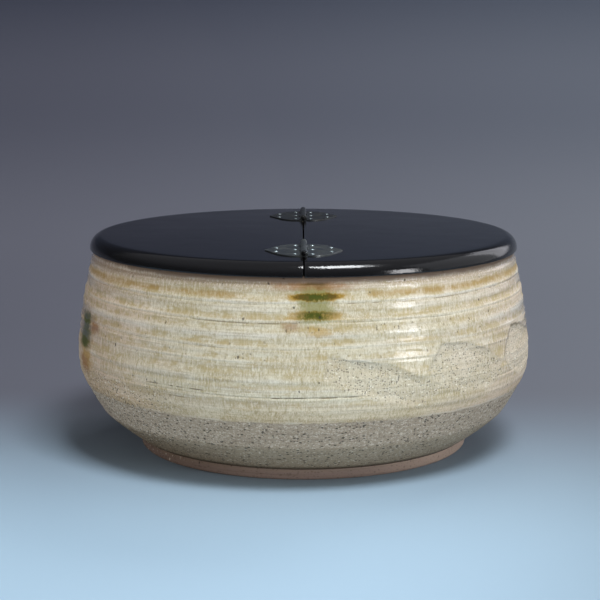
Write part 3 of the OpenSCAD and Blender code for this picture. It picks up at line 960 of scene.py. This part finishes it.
def innerGlaze():
    s = innerSet
    material, tree, shader = newMaterial("innerGlaze")
    place = objectPlace(tree)
    up = axes(place)[2]
    soft = softPatches(place, 40, 0.35, 0.7)
    pits = speckMask(place, *s["pits"])
    fromAxis = vectorMath("LENGTH", {0: stretch(place, (1, 1, 0))})["Value"]
    # lines left by the fingers: rings on the floor, level bands on the wall
    spread = {0: times(fromAxis, 260), 1: times(up, 420), 2: 0.5}
    along = nodeFrom("ShaderNodeCombineXYZ", spread)[0]
    line = noiseTex(vectorSum(along, stretch(place, (12, 12, 12))), 1.0, 3.0, 0.6)
    pooled = ramp(plus(fromAxis, times(soft, 0.02)), 0.075, 0.03, 0.0, 0.75)
    colour = paint(mixColour(soft, s["pale"], s["deep"]), [
        (ramp(line, 0.52, 0.72, 0.0, 0.6), s["line"]),
        (ramp(line, 0.30, 0.46, 0.5, 0.0), s["light"]),
        (pooled, s["pool"]),
        (times(pits, 0.7), s["pit"])])
    raised = minus(noiseTex(place, 160, 2.0), pits)
    fill(shader, {
        "Base Color": colour, "Roughness": ramp(soft, 0, 1, *s["rough"]),
        "Normal": bumpNormal(raised, *s["bump"])})
    return material


wear([jarPiece], jarGlaze(), innerGlaze())

# lacquer: deep black with a slightly uneven polish and a few dust specks; heights in metres
lacquerSet = dict(black=(0.0075, 0.0075, 0.0085, 1), dust=(0.18, 0.18, 0.18, 1), rough=(0.075, 0.13),
                  specks=(220, 0.12, 0.05), patches=(30, 0.3, 0.7), dullTop=0.1104, dullSoft=0.0004, dull=0.6,
                  edgeTop=(0.1160, 0.1168), edgeWaves=(1.1, 0.12), bump=(0.06, 0.001))


def blackLacquer():
    s = lacquerSet
    material, tree, shader = newMaterial("blackLacquer")
    place = objectPlace(tree)
    dust = speckMask(place, *s["specks"])
    soft = softPatches(place, *s["patches"])
    up = axes(place)[2]
    dull = ramp(up, s["dullTop"] - s["dullSoft"], s["dullTop"], s["dull"], 0.0)  # the underside is dull
    # the round edge ripples more than the flat top
    ripples = times(noiseTex(place, 1100, 2.0), ramp(up, *s["edgeTop"], *s["edgeWaves"]))
    waves = plus(noiseTex(place, 55, 1.0), ripples)
    fill(shader, {
        "Base Color": mixColour(times(dust, 0.5), s["black"], s["dust"]),
        "Roughness": most(ramp(soft, 0, 1, *s["rough"]), dull),
        "Normal": bumpNormal(waves, *s["bump"])})
    return material


wear(lidPieces, blackLacquer())

# hinge metal: bronze patinated nearly black; rub brightens it as wear does, black takes it further down
# towards near black
bronzeSet = dict(dark=(0.095, 0.10, 0.105, 1), olive=(0.125, 0.126, 0.116, 1), bright=(0.74, 0.88, 0.92, 1),
                 nearBlack=(0.012, 0.012, 0.013, 1), patches=(160, 0.35, 0.68), metal=0.9, rough=(0.36, 0.5))


def darkBronze(name, rub, black=0.0):
    s = bronzeSet
    material, tree, shader = newMaterial(name)
    soft = softPatches(objectPlace(tree), *s["patches"])
    colour = paint(s["dark"], [(soft, s["olive"]), (rub, s["bright"]), (black, s["nearBlack"])])
    fill(shader, {
        "Base Color": colour, "Metallic": s["metal"], "Roughness": ramp(soft, 0, 1, *s["rough"])})
    return material


wear(leafPieces[:2], darkBronze("darkBronze", 0.1))
# painted shade: the back hinge's leaves and nails are darker copies of the front ones
wear(leafPieces[2:], darkBronze("darkBronzeBackShaded", 0.04, 0.35))
wear(pinPieces, darkBronze("blackenedBronze", 0.0, 0.85))
wear(nailPieces[:2], darkBronze("wornBronze", 0.75))
wear(nailPieces[2:], darkBronze("wornBronzeBackShaded", 0.4))
print("finishes made")

# studio: a pale floor that sweeps up into a grey backdrop, in metres; each tone has one for the right side,
# and the tones are painted light and shade
stageSet = dict(wide=4.0, front=-0.62, back=1.3, bend=0.9, bendRows=16, high=1.35, rough=0.9,
                floor=(0.437, 0.616, 0.775, 1), floorRight=(0.245, 0.34, 0.42, 1),
                wall=(0.118, 0.124, 0.16, 1), wallRight=(0.147, 0.162, 0.194, 1),
                upper=(0.077, 0.082, 0.114, 1), upperRight=(0.097, 0.111, 0.143, 1),
                top=(0.027, 0.0335, 0.0575, 1), topRight=(0.0405, 0.052, 0.079, 1))


def makeSweep():
    s = stageSet
    bend, bendFrom = s["bend"], s["back"] - s["bend"]
    path = [(s["front"], 0.0), (0.0, 0.0), (bendFrom, 0.0)]
    for k in range(1, s["bendRows"] + 1):
        a = math.radians(90 * k / s["bendRows"])
        path.append((bendFrom + bend * math.sin(a), bend - bend * math.cos(a)))
    path.append((s["back"], s["high"]))
    half = s["wide"] / 2
    verts = [(x, y, z) for y, z in path for x in (-half, half)]
    faces = [(2 * i, 2 * i + 1, 2 * i + 3, 2 * i + 2) for i in range(len(path) - 1)]
    mesh = bpy.data.meshes.new("sweep")
    mesh.from_pydata(verts, [], faces)
    shadeSmooth(mesh)
    sweep = bpy.data.objects.new("sweep", mesh)
    bpy.context.scene.collection.objects.link(sweep)
    material, tree, shader = newMaterial("paperSweep")
    x, y, z = axes(objectPlace(tree))
    right = ramp(x, -0.35, 0.45)
    colour = mixColour(ramp(x, 0.0, 0.25), s["floor"], s["floorRight"])
    # painted shade: the floor darkens towards the back and the backdrop darkens upwards in three steps;
    # painted light makes the backdrop lighter to the right, while the floor is painted darker to the right
    for name, share in (("wall", ramp(plus(y, z), -0.22, 0.13)),
                        ("upper", ramp(z, 0.02, 0.14)), ("top", ramp(z, 0.16, 0.32))):
        colour = mixColour(share, colour, mixColour(right, s[name], s[name + "Right"]))
    fill(shader, {"Base Color": colour, "Roughness": s["rough"]})
    mesh.materials.append(material)


makeSweep()

# lights: name, place, aim, width, height, watts, colour, shows in reflections
lightSet = [
    ("main", (0.36, -0.62, 1.5), (0.0, 0.0, 0.06), 0.56, 0.47, 20, (0.93, 0.96, 0.98), True),
    ("side window", (0.97, -0.785, 0.27), (0.0, 0.0, 0.25), 0.28, 0.5, 4.4, (0.97, 0.96, 0.98), True),
    ("right wall", (1.6, 0.15, 0.75), (0.0, 0.0, 0.3), 2.0, 1.5, 5.0, (0.92, 0.94, 1.0), True),
    ("right corner", (1.05, 0.95, 0.55), (0.0, 0.0, 0.3), 0.6, 1.1, 3.0, (0.94, 0.93, 1.0), True),
    ("left wall", (-1.5, 0.3, 0.55), (0.0, 0.0, 0.2), 1.6, 1.0, 4.6, (1.0, 0.95, 0.96), False),
    ("back soft", (0.45, 1.05, 1.1), (0.0, 0.0, 0.06), 1.0, 0.5, 8, (1.0, 0.96, 0.92), False),
    ("front fill", (-0.55, -1.4, 0.17), (0.0, 0.0, 0.08), 1.2, 0.3, 6.5, (1.0, 0.89, 0.78), False),
]

# air: its colour and even strength, and the strength of the ceiling that reflections see in it
airSet = dict(colour=(0.64, 0.65, 0.70, 1), even=0.09, ceiling=(0.15, 0.85, 0.03, 0.36))


def makeLights():
    for name, place, aim, wide, high, watts, colour, mirrored in lightSet:
        lamp = bpy.data.lights.new(name, "AREA")
        lamp.shape = "RECTANGLE"
        lamp.size, lamp.size_y = wide, high
        lamp.energy = watts
        lamp.color = colour
        holder = bpy.data.objects.new(name, lamp)
        holder.location = place
        holder.rotation_euler = (Vector(aim) - Vector(place)).to_track_quat("-Z", "Y").to_euler()
        holder.visible_glossy = mirrored
        bpy.context.scene.collection.objects.link(holder)
    world = bpy.data.worlds.new("studio air")
    world.use_nodes = True
    tree = world.node_tree
    up = axes(addNode(tree, "ShaderNodeTexCoord")["Generated"])[2]
    reflected = addNode(tree, "ShaderNodeLightPath")["Is Glossy Ray"]
    strength = ramp(reflected, 0.0, 1.0, airSet["even"], ramp(up, *airSet["ceiling"]), "LINEAR")
    fill(tree.nodes["Background"], {"Color": airSet["colour"], "Strength": strength})
    bpy.context.scene.world = world


makeLights()

# camera: fitted to the ellipses of the lid and the foot in a 600 by 600 picture
cameraSet = dict(focalPixels=1676, picture=600, sensor=36, place=(-0.0019, -0.9283, 0.2377), tiltDown=9.7155)


def makeCamera():
    s = cameraSet
    lens = bpy.data.cameras.new("camera")
    lens.sensor_width = s["sensor"]
    lens.lens = s["focalPixels"] / s["picture"] * s["sensor"]
    holder = bpy.data.objects.new("camera", lens)
    holder.location = s["place"]
    holder.rotation_euler = (math.radians(90 - s["tiltDown"]), 0, 0)
    bpy.context.scene.collection.objects.link(holder)
    bpy.context.scene.camera = holder


makeCamera()
bpy.context.scene.view_settings.view_transform = "Standard"
print("studio and camera set")
